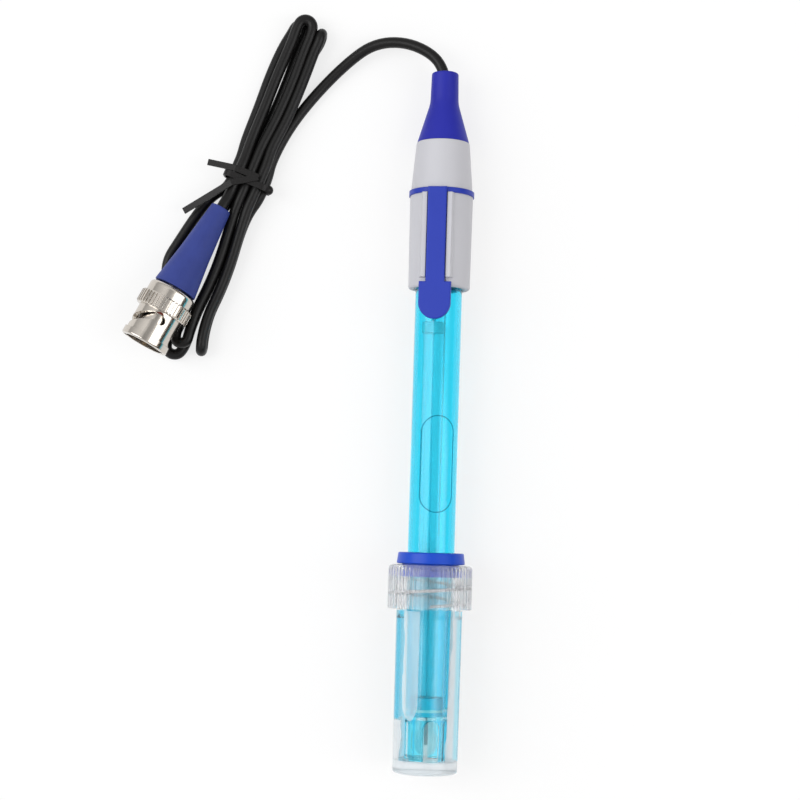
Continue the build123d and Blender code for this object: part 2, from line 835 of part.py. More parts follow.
with BuildPart() as thrust_washer:
    with BuildSketch(plug.offset(thrust_start)):
        Circle(washer_radius)
        Circle(body_neck_radius + running_gap, mode=Mode.SUBTRACT)
    extrude(amount=thrust_thickness)
save(thrust_washer, "thrust_washer")

# Front gasket, contact sleeve, insulator and centre pin
with BuildPart() as front_gasket:
    with BuildSketch(plug.offset(flange_end)):
        Circle(gasket_radius)
        Circle(contact_foot_radius + glue_gap, mode=Mode.SUBTRACT)
    extrude(amount=gasket_thickness)
save(front_gasket, "front_gasket")

contact_foot_end = flange_end + gasket_thickness + stop_gap
with BuildPart() as contact_sleeve:
    with BuildSketch(plug_profile):
        with BuildLine():
            draw_outline([
                (contact_bore_radius, flange_end, 0),
                (contact_foot_radius, flange_end, 0),
                (contact_foot_radius, contact_foot_end, 0),
                (contact_radius, contact_foot_end, 0),
                (contact_radius, contact_end, 0),
                (contact_bore_radius, contact_end, 0),
            ])
        make_face()
    revolve(axis=plug_axis)
    with BuildSketch(turned(plug, 180 / contact_slit_count).offset(contact_end - contact_slit_length)):
        with PolarLocations(contact_radius, contact_slit_count):
            Rectangle(contact_radius, contact_slit_width)
    extrude(amount=contact_slit_length, mode=Mode.SUBTRACT)
save(contact_sleeve, "contact_sleeve")

with BuildPart() as plug_insulator:
    with BuildSketch(plug.offset(flange_end)):
        Circle(contact_bore_radius)
        Circle(pin_foot_radius, mode=Mode.SUBTRACT)
    extrude(amount=insulator_thickness)
save(plug_insulator, "plug_insulator")

with BuildPart() as centre_pin:
    with BuildSketch(plug_profile):
        with BuildLine():
            draw_outline([
                (0, flange_end, 0),
                (pin_foot_radius, flange_end, 0),
                (pin_foot_radius, flange_end + insulator_thickness, 0),
                (pin_radius, flange_end + insulator_thickness, 0),
                (pin_radius, pin_end, pin_radius * corner_share),
                (0, pin_end, 0),
            ])
        make_face()
    revolve(axis=plug_axis)
save(centre_pin, "centre_pin")

# Coupling nut: knurled ring and bayonet sleeve with two helical cam slots that end in round detents
cam_step = cam_turn / cam_step_count
cam_chord = 2 * nut_neck_radius * math.sin(math.radians(cam_step) / 2)
cam_rise = cam_travel / cam_step_count
with BuildPart() as coupling_nut:
    with BuildSketch(plug_profile):
        with BuildLine():
            draw_outline([
                (nut_bore_radius, nut_start, 0),
                (nut_shoulder_radius, nut_start, nut_shoulder_rounding),
                (nut_shoulder_radius, knurl_start, 0),
                (knurl_radius - knurl_chamfer, knurl_start, 0),
                (knurl_radius, knurl_start + knurl_chamfer, 0),
                (knurl_radius, knurl_start + knurl_width - knurl_chamfer, 0),
                (knurl_radius - knurl_chamfer, knurl_start + knurl_width, 0),
                (nut_neck_radius, knurl_start + knurl_width, 0),
                (nut_neck_radius, nut_mouth - nut_rim_width, 0),
                (nut_rim_radius, nut_mouth - nut_rim_width, 0),
                (nut_rim_radius, nut_mouth, nut_rim_rounding),
                (nut_bore_radius, nut_mouth, 0),
                (nut_bore_radius, nut_web_start + nut_web_thickness, 0),
                (body_neck_radius + running_gap, nut_web_start + nut_web_thickness, 0),
                (body_neck_radius + running_gap, nut_web_start, 0),
                (nut_bore_radius, nut_web_start, 0),
            ])
        make_face()
    revolve(axis=plug_axis)
    with BuildSketch(plug.offset(knurl_start - stop_gap)):
        with PolarLocations(knurl_radius, knurl_count):
            Rectangle(2 * knurl_depth, knurl_groove_width)
    extrude(amount=knurl_width + 2 * stop_gap, mode=Mode.SUBTRACT)
    for turn in (0, 180):
        for step in range(cam_step_count):
            with BuildSketch(face_plane(plug, turn + cam_rear_azimuth + cam_step * (step + 0.5))):
                with Locations((0, cam_start - cam_travel + cam_rise * (step + 0.5))):
                    SlotCenterToCenter(
                        math.hypot(cam_chord, cam_rise),
                        cam_width,
                        rotation=math.degrees(math.atan2(cam_rise, cam_chord)),
                    )
            extrude(amount=nut_rim_radius, mode=Mode.SUBTRACT)
        with BuildSketch(face_plane(plug, turn + cam_detent_azimuth)):
            with Locations((0, cam_detent)):
                Circle(cam_detent_radius)
        extrude(amount=nut_rim_radius, mode=Mode.SUBTRACT)
        with BuildSketch(face_plane(plug, turn + cam_rear_azimuth + cam_turn)):
            with Locations((0, (cam_start + nut_mouth) / 2)):
                Rectangle(cam_width, nut_mouth - cam_start)
        extrude(amount=nut_bore_radius + cam_entry_depth, mode=Mode.SUBTRACT)
save(coupling_nut, "coupling_nut")
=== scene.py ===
import math

import bpy
from mathutils import Euler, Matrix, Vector


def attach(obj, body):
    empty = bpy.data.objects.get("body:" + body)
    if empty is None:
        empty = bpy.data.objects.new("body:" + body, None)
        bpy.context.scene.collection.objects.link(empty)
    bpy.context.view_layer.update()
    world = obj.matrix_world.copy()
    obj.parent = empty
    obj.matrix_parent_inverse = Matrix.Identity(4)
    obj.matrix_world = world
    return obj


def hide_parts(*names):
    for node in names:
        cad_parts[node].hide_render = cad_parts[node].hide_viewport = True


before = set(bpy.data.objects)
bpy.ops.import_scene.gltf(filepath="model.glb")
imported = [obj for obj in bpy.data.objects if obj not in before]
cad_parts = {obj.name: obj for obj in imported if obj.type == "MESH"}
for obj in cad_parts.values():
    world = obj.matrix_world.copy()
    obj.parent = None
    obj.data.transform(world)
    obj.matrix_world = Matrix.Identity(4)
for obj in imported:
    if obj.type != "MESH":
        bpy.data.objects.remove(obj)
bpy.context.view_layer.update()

# Looks of a laboratory pH electrode that lies on a pale surface with its tied cable, plug and storage bottle.

# Camera at the photograph's angle, with a small vertical shift
camera_place = (-0.00551, -0.01937, 0.4695)
camera_turns = (1.494, 0.359, 1.748)
camera_data = bpy.data.cameras.new("view_camera")
camera_data.sensor_width = 36.0
camera_data.lens = 80.795
camera_data.shift_y = 0.06
camera_data.clip_start = 0.01
camera_data.clip_end = 20.0
camera = bpy.data.objects.new("view_camera", camera_data)
camera.location = camera_place
camera.rotation_euler = Euler([math.radians(turn) for turn in camera_turns], "XYZ")
bpy.context.collection.objects.link(camera)
bpy.context.scene.camera = camera
bpy.context.scene.view_settings.view_transform = "Standard"

# The bundle of strands under the tie: its middle, its heading, and the layers in which the strands lie
waist_centre = Vector((-0.0507, 0.0607, 0.0))
waist_heading = math.radians(249.0)
waist_along = Vector((math.cos(waist_heading), math.sin(waist_heading), 0.0))
waist_across = Vector((-waist_along.y, waist_along.x, 0.0))
waist_half_length = 0.003
low_layer = 0.0021
high_layer = 0.0048
top_layer = 0.0052


def at_waist(across, along, height):
    """A point of the bundle under the tie."""
    point = waist_centre + waist_across * across + waist_along * along
    return (point.x, point.y, height)


def through_waist(across, height, going_down):
    """The straight run of one strand under the tie."""
    run = [at_waist(across, along, height) for along in (-waist_half_length, waist_half_length)]
    return run if going_down else run[::-1]


# The cable's route: from the boot to the tie, through three loops at each end, and into the plug's boot
lead_in = [
    (0.0, 0.0868, 0.00773),
    (0.0, 0.0898, 0.00766),
    (-0.0031, 0.0948, 0.0072),
    (-0.0106, 0.0983, 0.0057),
    (-0.0188, 0.0980, 0.0038),
    (-0.0256, 0.0932, 0.0023),
    (-0.0336, 0.0849, 0.0015),
    (-0.0402, 0.0759, 0.00205),
    (-0.0447, 0.0668, 0.00205),
]
right_bottom_fold = [
    (-0.0503, 0.0530, 0.0016),
    (-0.0525, 0.0474, 0.0014),
    (-0.0546, 0.0391, 0.0014),
    (-0.0571, 0.0320, 0.0014),
    (-0.0595, 0.0267, 0.0014),
    (-0.0606, 0.0225, 0.0014),
    (-0.0611, 0.0192, 0.0014),
    (-0.0612, 0.0173, 0.0014),
    (-0.0613, 0.0164, 0.0023),
    (-0.0613, 0.0164, 0.0037),
    (-0.0612, 0.0173, 0.0046),
    (-0.0611, 0.0192, 0.0046),
    (-0.0605, 0.0226, 0.0044),
    (-0.0593, 0.0268, 0.0042),
    (-0.0569, 0.0321, 0.0042),
    (-0.0544, 0.0392, 0.0042),
    (-0.0522, 0.0475, 0.0043),
    (-0.0505, 0.0534, 0.0046),
]
right_top_fold = [
    (-0.0457, 0.0654, 0.0047),
    (-0.0444, 0.0702, 0.0044),
    (-0.0408, 0.0772, 0.0042),
    (-0.0370, 0.0872, 0.0042),
    (-0.0342, 0.0956, 0.0042),
    (-0.0332, 0.0976, 0.0045),
    (-0.0327, 0.0994, 0.0046),
    (-0.0325, 0.1003, 0.0037),
    (-0.0325, 0.1003, 0.0023),
    (-0.0327, 0.0994, 0.0014),
    (-0.0334, 0.0976, 0.0014),
    (-0.0347, 0.0956, 0.0014),
    (-0.0383, 0.0870, 0.0014),
    (-0.0422, 0.0776, 0.0014),
    (-0.0457, 0.0706, 0.0016),
    (-0.0471, 0.0660, 0.0020),
]
low_bottom_turn = [
    (-0.0539, 0.0538, 0.0016),
    (-0.0551, 0.0483, 0.0014),
    (-0.0573, 0.0401, 0.0014),
    (-0.0600, 0.0330, 0.0014),
    (-0.0626, 0.0275, 0.0014),
    (-0.0644, 0.0226, 0.0014),
    (-0.0655, 0.0185, 0.0014),
    (-0.0669, 0.0159, 0.0014),
    (-0.0683, 0.0153, 0.0014),
    (-0.0698, 0.0157, 0.0014),
    (-0.0707, 0.0170, 0.0014),
    (-0.0704, 0.0192, 0.0014),
    (-0.0696, 0.0222, 0.0014),
    (-0.0690, 0.0248, 0.0014),
    (-0.0693, 0.0290, 0.0014),
    (-0.0712, 0.0345, 0.0014),
    (-0.0713, 0.0400, 0.0014),
    (-0.0681, 0.0453, 0.0014),
    (-0.0644, 0.0514, 0.0014),
    (-0.0601, 0.0573, 0.0017),
]
low_top_turn = [
    (-0.0525, 0.0680, 0.0020),
    (-0.0516, 0.0722, 0.0016),
    (-0.0484, 0.0812, 0.0014),
    (-0.0459, 0.0891, 0.0014),
    (-0.0429, 0.0965, 0.0014),
    (-0.0404, 0.1008, 0.0014),
    (-0.0395, 0.1026, 0.0014),
    (-0.0382, 0.1030, 0.0014),
    (-0.0370, 0.1024, 0.0014),
    (-0.0365, 0.1011, 0.0014),
    (-0.0372, 0.0994, 0.0014),
    (-0.0385, 0.0964, 0.0014),
    (-0.0414, 0.0874, 0.0014),
    (-0.0449, 0.0783, 0.0014),
    (-0.0486, 0.0709, 0.0016),
    (-0.0498, 0.0670, 0.0020),
]
high_bottom_turn = [
    (-0.0573, 0.0538, 0.0016),
    (-0.0599, 0.0476, 0.0014),
    (-0.0625, 0.0421, 0.0014),
    (-0.0641, 0.0365, 0.0014),
    (-0.0655, 0.0303, 0.0015),
    (-0.0663, 0.0252, 0.0020),
    (-0.0679, 0.0214, 0.0033),
    (-0.0680, 0.0204, 0.0037),
    (-0.0680, 0.0192, 0.0040),
    (-0.0672, 0.0183, 0.0043),
    (-0.0659, 0.0182, 0.0046),
    (-0.0649, 0.0189, 0.0046),
    (-0.0646, 0.0201, 0.0046),
    (-0.0641, 0.0224, 0.0043),
    (-0.0625, 0.0275, 0.0042),
    (-0.0599, 0.0330, 0.0042),
    (-0.0572, 0.0401, 0.0042),
    (-0.0550, 0.0483, 0.0042),
    (-0.0533, 0.0540, 0.0045),
]
high_top_turn = [
    (-0.0484, 0.0665, 0.0047),
    (-0.0470, 0.0703, 0.0045),
    (-0.0434, 0.0776, 0.0043),
    (-0.0398, 0.0866, 0.0042),
    (-0.0368, 0.0958, 0.0042),
    (-0.0355, 0.0990, 0.0044),
    (-0.0348, 0.1017, 0.0045),
    (-0.0354, 0.1031, 0.0045),
    (-0.0368, 0.1037, 0.0045),
    (-0.0382, 0.1031, 0.0045),
    (-0.0391, 0.1011, 0.0044),
    (-0.0399, 0.0985, 0.0043),
    (-0.0410, 0.0957, 0.0042),
    (-0.0439, 0.0883, 0.0042),
    (-0.0466, 0.0805, 0.0042),
    (-0.0499, 0.0717, 0.0044),
    (-0.0511, 0.0675, 0.0048),
]
plug_run = [
    (-0.05525, 0.05666, 0.0055),
    (-0.05664, 0.0540, 0.0063),
    (-0.0579, 0.0515, 0.0066),
]
cable_route = (
    lead_in
    + through_waist(0.0043, low_layer, True)
    + right_bottom_fold
    + through_waist(0.0030, high_layer, False)
    + right_top_fold
    + through_waist(0.00145, low_layer, True)
    + low_bottom_turn
    + through_waist(-0.0043, low_layer, False)
    + low_top_turn
    + through_waist(-0.00145, low_layer, True)
    + high_bottom_turn
    + through_waist(0.0001, high_layer, False)
    + high_top_turn
    + through_waist(-0.0028, top_layer, True)
    + plug_run
)
cable_diameter = 0.0028
cable_curve = bpy.data.curves.new("signal_cable", "CURVE")
cable_curve.dimensions = "3D"
# The bevel is a circle of radius one, and each point's own radius gives the thickness
cable_curve.bevel_depth = 1.0
cable_curve.bevel_resolution = 6
cable_curve.resolution_u = 6
strand = cable_curve.splines.new("NURBS")
strand.points.add(len(cable_route) - 1)
for control, place in zip(strand.points, cable_route):
    control.co = (*place, 1.0)
    control.radius = cable_diameter / 2
strand.order_u = 3
strand.use_endpoint_u = True
signal_cable = bpy.data.objects.new("signal_cable", cable_curve)
bpy.context.collection.objects.link(signal_cable)
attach(signal_cable, "electrode")
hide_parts("cable_lead", "cable_hank", "plug_lead")

# The probe's axis, along which a station is the distance from the underside of the bottle
probe_foot = Vector((0.0, -0.089668, 0.011915))
probe_along = Vector((0.0, 0.999719, -0.023705))
probe_up = Vector((0.0, 0.023705, 0.999719))
probe_right = Vector((1.0, 0.0, 0.0))


class Value:
    """A number that changes over a surface: Python arithmetic on it adds Math nodes."""

    def __init__(self, nodes, socket):
        self.nodes = nodes
        self.socket = socket

    def _with(self, operation, first, second):
        node = self.nodes.node("ShaderNodeMath", {"operation": operation}, {0: first, 1: second})
        return Value(self.nodes, node.outputs[0])

    def __add__(self, other):
        return self._with("ADD", self, other)

    def __radd__(self, other):
        return self._with("ADD", other, self)

    def __sub__(self, other):
        return self._with("SUBTRACT", self, other)

    def __rsub__(self, other):
        return self._with("SUBTRACT", other, self)

    def __mul__(self, other):
        return self._with("MULTIPLY", self, other)

    def __rmul__(self, other):
        return self._with("MULTIPLY", other, self)

    def __truediv__(self, other):
        return self._with("DIVIDE", self, other)

    def __pow__(self, other):
        return self._with("POWER", self, other)

    def above(self, level):
        """One where the number is above the level, and zero elsewhere."""
        return self._with("GREATER_THAN", self, level)

    def below(self, level):
        """One where the number is below the level, and zero elsewhere."""
        return (level - self).above(0.0)

    def least(self, level):
        """The number, or the level where that is greater."""
        return self._with("MAXIMUM", self, level)


class Nodes:
    """A tree of shader nodes."""

    def __init__(self, tree):
        self.tree = tree
        self.tree.nodes.clear()

    def node(self, kind, settings=None, inputs=None):
        """Add a node: its settings are made first, then its sockets get values or links."""
        made = self.tree.nodes.new(kind)
        for name, setting in (settings or {}).items():
            setattr(made, name, setting)
        for name, given in (inputs or {}).items():
            socket = made.inputs[name]
            if isinstance(given, Value):
                given = given.socket
            if isinstance(given, bpy.types.NodeSocket):
                self.tree.links.new(given, socket)
            elif socket.type == "RGBA":
                socket.default_value = (*given, 1.0)
            else:
                socket.default_value = given
        return made

    def blend(self, amount, first, second):
        """A colour between two colours: socket 0 takes the amount, and sockets 6 and 7 the colours."""
        inputs = {0: amount, 6: first, 7: second}
        return self.node("ShaderNodeMix", {"data_type": "RGBA"}, inputs).outputs[2]


class Finish(Nodes):
    """One surface finish, built from nodes."""

    def __init__(self, name):
        self.material = bpy.data.materials.new(name)
        self.material.use_nodes = True
        super().__init__(self.material.node_tree)
        self.place = self.node("ShaderNodeTexCoord").outputs["Object"]

    def noise(self, scale, detail=2.0, roughness=0.5):
        """Noise of that many features per metre, centred on one half."""
        inputs = {"Vector": self.place, "Scale": scale, "Detail": detail, "Roughness": roughness}
        return Value(self, self.node("ShaderNodeTexNoise", None, inputs).outputs[0])

    def relief(self, height, strength, distance, edge=0.0):
        """A normal with fine relief, and with softened edges where a radius is given."""
        inputs = {"Height": height, "Strength": strength, "Distance": distance}
        if edge:
            inputs["Normal"] = self.node("ShaderNodeBevel", {"samples": 4}, {"Radius": edge}).outputs[0]
        return self.node("ShaderNodeBump", None, inputs).outputs[0]

    def vector_maths(self, operation, *inputs):
        """The outputs of one step of vector maths."""
        return self.node("ShaderNodeVectorMath", {"operation": operation}, dict(enumerate(inputs))).outputs

    def from_foot(self):
        """The way from the probe's foot to a place."""
        return self.vector_maths("SUBTRACT", self.place, tuple(probe_foot))[0]

    def along_probe(self):
        """How far a place lies along the probe."""
        return Value(self, self.vector_maths("DOT_PRODUCT", self.from_foot(), tuple(probe_along))["Value"])

    def from_axis(self):
        """How far a place lies from the probe's axis."""
        sideways = self.vector_maths("CROSS_PRODUCT", self.from_foot(), tuple(probe_along))[0]
        return Value(self, self.vector_maths("LENGTH", sideways)["Value"])

    def principled(self, inputs):
        return self.node("ShaderNodeBsdfPrincipled", None, inputs)

    def finish_with(self, shader):
        """End on a shader, and give the material."""
        self.node("ShaderNodeOutputMaterial", None, {"Surface": shader.outputs[0]})
        return self.material


# Values that several finishes share
fine_grain = {"scale": 2600.0, "detail": 3.0, "roughness": 0.6}
ripple_roughness = 0.03
ripple_depth = 0.0003
clear_edge = 0.0001


def darkened(colour, share):
    """A colour with that share of its light."""
    return tuple(share * part for part in colour)


def moulded(name, colour, deep, roughness, grain, edge, tint_scale=90.0):
    """Moulded plastic or rubber: slow tint changes, fine grain and a softly rounded edge."""
    cloud_roughness = 0.12
    grain_roughness = 0.06
    smoothest = roughness - (cloud_roughness + grain_roughness) / 2
    finish = Finish(name)
    cloud = finish.noise(tint_scale, detail=3.0)
    grain_noise = finish.noise(**fine_grain)
    inputs = {
        "Base Color": finish.blend(cloud, deep, colour),
        "Roughness": smoothest + cloud_roughness * cloud + grain_roughness * grain_noise,
        "Normal": finish.relief(grain_noise, grain, distance=0.00012, edge=edge),
        "Specular IOR Level": 0.32,
        "IOR": 1.46,
    }
    return finish.finish_with(finish.principled(inputs))


def plated(name, colour, roughness, scratch, edge=0.00012):
    """Bright plated metal with faint turning marks."""
    finish = Finish(name)
    marks = finish.noise(900.0, detail=4.0, roughness=0.6)
    cloud = finish.noise(160.0)
    inputs = {
        "Base Color": finish.blend(cloud, darkened(colour, share=0.82), colour),
        "Metallic": 1.0,
        "Roughness": roughness + scratch * cloud * marks,
        "Normal": finish.relief(marks, strength=0.06, distance=0.00004, edge=edge),
    }
    return finish.finish_with(finish.principled(inputs))


def clear_cap():
    """Clear plastic of the bottle's cap, with the slow ripple of a moulded wall."""
    colour = (0.985, 0.99, 1.0)
    finish = Finish("cap_clear")
    ripple = finish.noise(120.0)
    speck = finish.noise(1500.0)
    inputs = {
        "Base Color": finish.blend(speck, darkened(colour, share=0.97), colour),
        "Roughness": 0.07 + ripple_roughness * ripple,
        "IOR": 1.24,
        "Transmission Weight": 0.90,
        "Normal": finish.relief(ripple, strength=0.12, distance=ripple_depth, edge=clear_edge),
    }
    return finish.finish_with(finish.principled(inputs))


def tinted_tube():
    """Tinted tube whose colour sits in its outer skin, so that it is even right up to the edges."""
    clear_bore = (0.97, 0.99, 1.0)
    cyan = (0.035, 0.68, 0.92)
    line_blue = (0.004, 0.20, 0.32)
    skin_inside = 0.0051
    line_outside = 0.00588
    oval_start = 0.0645
    oval_end = 0.0915
    finish = Finish("tube_cyan")
    along = finish.along_probe()
    away = finish.from_axis()
    skin = away.above(skin_inside)
    ripple = finish.noise(70.0)
    near_oval = along.above(oval_start) * along.below(oval_end)
    line = near_oval * skin * away.below(line_outside)
    inputs = {
        "Base Color": finish.blend(line, finish.blend(skin, clear_bore, cyan), line_blue),
        "Roughness": 0.05 + ripple_roughness * ripple,
        "IOR": 1.18,
        "Transmission Weight": 1.0,
        "Coat Weight": 0.5,
        "Coat Roughness": 0.12,
        "Normal": finish.relief(ripple, strength=0.08, distance=ripple_depth, edge=clear_edge),
    }
    return finish.finish_with(finish.principled(inputs))


def filled_bottle():
    """Clear bottle: the liquid tints its skin, more toward the sides, and air pockets stay untinted under a
    pale painted haze that stands in for reflections on the skin.
    """
    clear_wall = (0.95, 0.97, 0.985)
    liquid_middle = (0.84, 0.99, 1.0)
    liquid_side = (0.028, 0.50, 0.74)
    skin_inside = 0.0078
    liquid_foot = 0.0034
    wobble_width = 0.0014
    left_pocket_left = -0.0062
    left_pocket_middle = -0.0043
    left_pocket_right = -0.0024
    left_pocket_foot = 0.0135
    left_pocket_bow = 900.0
    right_pocket_left = 0.0047
    right_pocket_right = 0.0079
    right_pocket_lean = 0.035
    foot_pocket_right = -0.0064
    foot_pocket_top = 0.0135
    # Over the air pockets the pale finish is a painted reflection haze; the foot below the liquid is pale too
    pocket_haze_share = 0.35
    foot_milk = 0.45

    finish = Finish("bottle_clear")
    along = finish.along_probe()
    away = finish.from_axis()
    across = Value(finish, finish.node("ShaderNodeSeparateXYZ", None, {0: finish.place}).outputs["X"])
    wobble = wobble_width * finish.noise(170.0) - wobble_width / 2
    ripple = finish.noise(90.0)
    skin = away.above(skin_inside)
    filled = along.above(liquid_foot)

    off_middle = across - left_pocket_middle
    left_end = along - left_pocket_bow * off_middle * off_middle
    left_width = (across + wobble).above(left_pocket_left) * across.below(left_pocket_right)
    left_pocket = left_width * left_end.above(left_pocket_foot)
    right_edge = across - wobble - right_pocket_lean * along
    right_pocket = right_edge.above(right_pocket_left) * across.below(right_pocket_right)
    foot_pocket = (foot_pocket_right - across - wobble).above(0.0) * along.below(foot_pocket_top)
    pocket = (left_pocket + right_pocket + foot_pocket) * filled

    side = (across / away) ** 2.0
    wet = skin * filled * (1.0 - pocket)
    glass = finish.principled({
        "Base Color": finish.blend(wet, clear_wall, finish.blend(side, liquid_middle, liquid_side)),
        "Roughness": 0.05 + ripple_roughness * ripple,
        "IOR": 1.16,
        "Transmission Weight": 1.0,
        "Coat Weight": 0.35,
        "Coat Roughness": 0.08,
        "Normal": finish.relief(ripple, strength=0.25, distance=ripple_depth, edge=clear_edge),
    })
    # Pale finish mixed in: over the air pockets it is painted haze in place of surface reflections
    pale = finish.principled({"Base Color": (0.80, 0.86, 0.90), "Roughness": 0.35})
    haze_and_foot_milk = pocket_haze_share * pocket * skin + foot_milk * (1.0 - filled)
    inputs = {0: haze_and_foot_milk, 1: glass.outputs[0], 2: pale.outputs[0]}
    return finish.finish_with(finish.node("ShaderNodeMixShader", None, inputs))


def veil(name, colour, share, roughness):
    """A faint clear layer: liquid, or glass that stands in liquid. Its pale tone on the glass stem and on the
    threads is painted reflection and highlight.
    """
    drift_share = 0.4
    thinnest = share * (1.0 - drift_share / 2)
    finish = Finish(name)
    inputs = {
        "Base Color": colour,
        "Roughness": roughness,
        "Alpha": thinnest + share * drift_share * finish.noise(240.0),
        "IOR": 1.40,
    }
    return finish.finish_with(finish.principled(inputs))


def coated_wire():
    """Silver wire, with a dark chloride coat on the length inside the bulb."""
    chloride_colour = (0.075, 0.065, 0.085)
    bare_colour = (0.50, 0.80, 0.86)
    coat_end = 0.0165
    finish = Finish("sensing_wire")
    grain = finish.noise(**fine_grain)
    inputs = {
        "Base Color": finish.blend(finish.along_probe().above(coat_end), chloride_colour, bare_colour),
        "Roughness": 0.5 + 0.1 * grain,
        "Normal": finish.relief(grain, strength=0.2, distance=0.0001),
    }
    return finish.finish_with(finish.principled(inputs))


def dress(material, *names):
    """Give CAD nodes a finish."""
    for name in names:
        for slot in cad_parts[name].material_slots:
            slot.material = material


# Finishes: a moulded one has its colour, its deeper tint and then its surface
head_blue = moulded(
    "head_blue", (0.018, 0.024, 0.385), (0.013, 0.017, 0.31), roughness=0.48, grain=0.25, edge=0.0002
)
clip_blue = moulded(
    "clip_blue", (0.020, 0.045, 0.42), (0.016, 0.038, 0.37), roughness=0.38, grain=0.15, edge=0.0002
)
seal_blue = moulded(
    "seal_blue", (0.008, 0.074, 0.59), (0.006, 0.058, 0.50), roughness=0.34, grain=0.10, edge=0.0002
)
plug_blue = moulded(
    "plug_blue", (0.036, 0.058, 0.275), (0.026, 0.042, 0.21), roughness=0.55, grain=0.45, edge=0.0002,
    tint_scale=260.0,
)
soft_grey = moulded(
    "soft_grey", (0.58, 0.58, 0.615), (0.53, 0.53, 0.565), roughness=0.45, grain=0.12, edge=0.00025
)
jacket_black = moulded(
    "jacket_black", (0.0055, 0.005, 0.005), (0.003, 0.0028, 0.0028), roughness=0.40, grain=0.30, edge=0.0
)
tie_black = moulded(
    "tie_black", (0.007, 0.006, 0.006), (0.004, 0.0035, 0.0035), roughness=0.42, grain=0.35, edge=0.0001
)
tube_cyan = tinted_tube()
# The glass stem's pale veil is partly painted reflection: it stands in for lamp reflections in the stem,
# which make a lighter band down the tube
stem_glass = veil("stem_glass", (0.94, 1.0, 1.0), share=0.22, roughness=0.10)
cap_clear = clear_cap()
bottle_clear = filled_bottle()
# The threads' pale veil is a painted highlight: it makes the clear threads show as light lines
thread_painted_highlight = veil("thread_painted_highlight", (0.97, 0.98, 1.0), share=0.55, roughness=0.25)
nickel = plated("nickel", (0.66, 0.61, 0.55), roughness=0.11, scratch=0.24)
steel = plated("spring_steel", (0.55, 0.55, 0.55), roughness=0.30, scratch=0.30)
silver = plated("silver_wire", (0.78, 0.78, 0.77), roughness=0.25, scratch=0.30, edge=0.0)
chloride = coated_wire()
gold = plated("pin_gold", (0.85, 0.62, 0.27), roughness=0.16, scratch=0.25, edge=0.00005)
porous = moulded(
    "porous_grey", (0.90, 0.97, 0.94), (0.66, 0.78, 0.76), roughness=0.7, grain=0.6, edge=0.0001,
    tint_scale=900.0,
)
potting = moulded(
    "potting_resin", (0.36, 0.97, 1.0), (0.28, 0.90, 0.98), roughness=0.55, grain=0.3, edge=0.0001
)
lead_cover = moulded(
    "lead_cover", (0.72, 0.74, 0.74), (0.64, 0.66, 0.66), roughness=0.5, grain=0.2, edge=0.0
)
insulator_white = moulded(
    "insulator_white", (0.85, 0.85, 0.82), (0.78, 0.78, 0.75), roughness=0.42, grain=0.15, edge=0.0001
)
gasket_red = moulded(
    "gasket_red", (0.25, 0.05, 0.03), (0.18, 0.035, 0.02), roughness=0.6, grain=0.4, edge=0.0001
)

dress(head_blue, "cable_boot")
dress(clip_blue, "pocket_clip")
dress(seal_blue, "seal_plug")
dress(plug_blue, "plug_boot")
dress(soft_grey, "head_collar", "head_sleeve")
dress(tube_cyan, "body_tube")
dress(stem_glass, "glass_stem")
dress(cap_clear, "bottle_cap")
dress(bottle_clear, "storage_bottle")
dress(nickel, "coupling_nut", "plug_body", "contact_sleeve", "crimp_ferrule")
dress(steel, "spring_washer", "thrust_washer", "retaining_ring")
dress(silver, "reference_wire")
dress(chloride, "sensing_wire")
dress(gold, "centre_pin")
dress(porous, "stem_stopper", "junction_frit")
dress(potting, "tube_potting", "base_seal")
dress(lead_cover, "inner_lead")
dress(insulator_white, "plug_insulator")
dress(gasket_red, "front_gasket")
dress(tie_black, "twist_tie")
cable_curve.materials.append(jacket_black)


def on_probe(station, distance, azimuth):
    """A point round the probe's axis: azimuth runs from straight up toward the right."""
    turned = probe_up * math.cos(azimuth) + probe_right * math.sin(azimuth)
    return probe_foot + probe_along * station + turned * distance


def mesh_piece(name, points, faces, material, body):
    """A new smooth mesh piece that rides on a body."""
    data = bpy.data.meshes.new(name)
    data.from_pydata([tuple(point) for point in points], [], faces)
    data.validate()
    data.polygons.foreach_set("use_smooth", [True] * len(data.polygons))
    data.materials.append(material)
    piece = bpy.data.objects.new(name, data)
    bpy.context.collection.objects.link(piece)
    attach(piece, body)
    return piece


# Threads of the neck and the cap, each from its wall (base) to its crest
thread_pitch = 0.004
thread_root_width = 0.0008
thread_crest_width = 0.0003
thread_steps = 72
thread_corners = 4
run_out = 3.0
least_rise = 0.02


def thread(name, base, crest, start, turns, phase, body):
    """A right-hand screw thread whose ends run out into the wall."""
    steps = int(turns * thread_steps)
    points = []
    for step in range(steps + 1):
        turn = step / thread_steps
        fade = min(1.0, turn * run_out, (turns - turn) * run_out)
        azimuth = phase + 2 * math.pi * turn
        station = start + thread_pitch * turn
        top = base + (crest - base) * max(fade, least_rise)
        for distance, half in (
            (base, -thread_root_width / 2),
            (top, -thread_crest_width / 2),
            (top, thread_crest_width / 2),
            (base, thread_root_width / 2),
        ):
            points.append(on_probe(station + half, distance, azimuth))
    faces = []
    for step in range(steps):
        first = thread_corners * step
        second = first + thread_corners
        for side in range(thread_corners):
            after = (side + 1) % thread_corners
            faces.append((first + side, first + after, second + after, second + side))
    faces.append((3, 2, 1, 0))
    faces.append(tuple(thread_corners * steps + side for side in range(thread_corners)))
    return mesh_piece(name, points, faces, thread_painted_highlight, body)


thread(
    "neck_thread", base=0.00765, crest=0.00855, start=0.0422, turns=1.55, phase=0.0,
    body="bottle",
)
thread(
    "cap_thread", base=0.00905, crest=0.00815, start=0.0435, turns=1.45, phase=math.pi * 0.65,
    body="cap",
)

